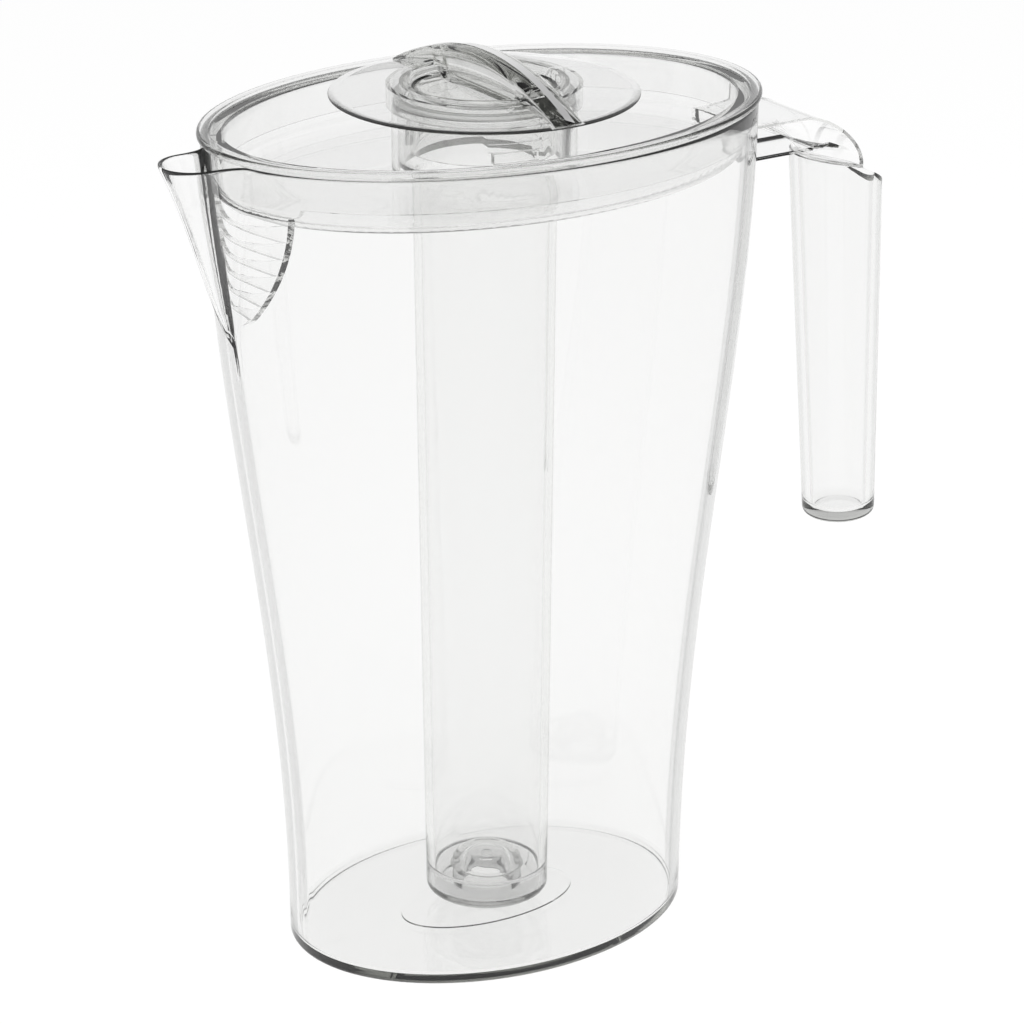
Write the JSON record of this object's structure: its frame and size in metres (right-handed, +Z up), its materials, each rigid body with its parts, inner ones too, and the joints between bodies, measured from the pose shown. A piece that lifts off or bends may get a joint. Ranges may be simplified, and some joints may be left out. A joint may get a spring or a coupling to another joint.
{
  "type": "water jug with ice core",
  "caption": "Oval clear table jug with a pouring spout, a side grip, a dished lid with a strainer, and a hanging capped tube that is filled with ice to cool the drink.",
  "frame": {"origin": "on the core's axis, at the underside of the vessel, where it stands on the table", "axes": "+Z up along the core's axis, +X from the spout to the handle, +Y to the left seen from the spout"},
  "size_m": [0.2504, 0.1246, 0.2743],
  "materials": {
    "clear_vessel": "clear moulded polycarbonate, glossy",
    "clear_handle": "clear moulded polycarbonate, glossy",
    "clear_lid": "clear moulded polycarbonate, glossy",
    "clear_core": "clear moulded plastic, glossy",
    "clear_cap": "clear moulded plastic, glossy",
    "clear_seal": "translucent silicone, satin"
  },
  "bodies": {
    "jug": {"vessel": "clear_vessel", "handle_arm": "clear_handle", "grip_tube": "clear_handle"},
    "lid": {"lid": "clear_lid"},
    "core": {"core_tube": "clear_core"},
    "cap": {"core_cap": "clear_cap", "cap_seal": "clear_seal"}
  },
  "joints": [
    {"name": "lid_lift", "type": "slide", "parent": "jug", "child": "lid", "axis": [0, 0, 1], "range_m": [0, 0.26]},
    {"name": "core_lift", "type": "slide", "parent": "lid", "child": "core", "axis": [0, 0, 1], "range_m": [0, 0.26]},
    {"name": "cap_turn", "type": "hinge", "parent": "core", "child": "cap", "pos_m": [0, 0, 0.2621], "axis": [0, 0, 1], "range_deg": [0, 60]}
  ]
}
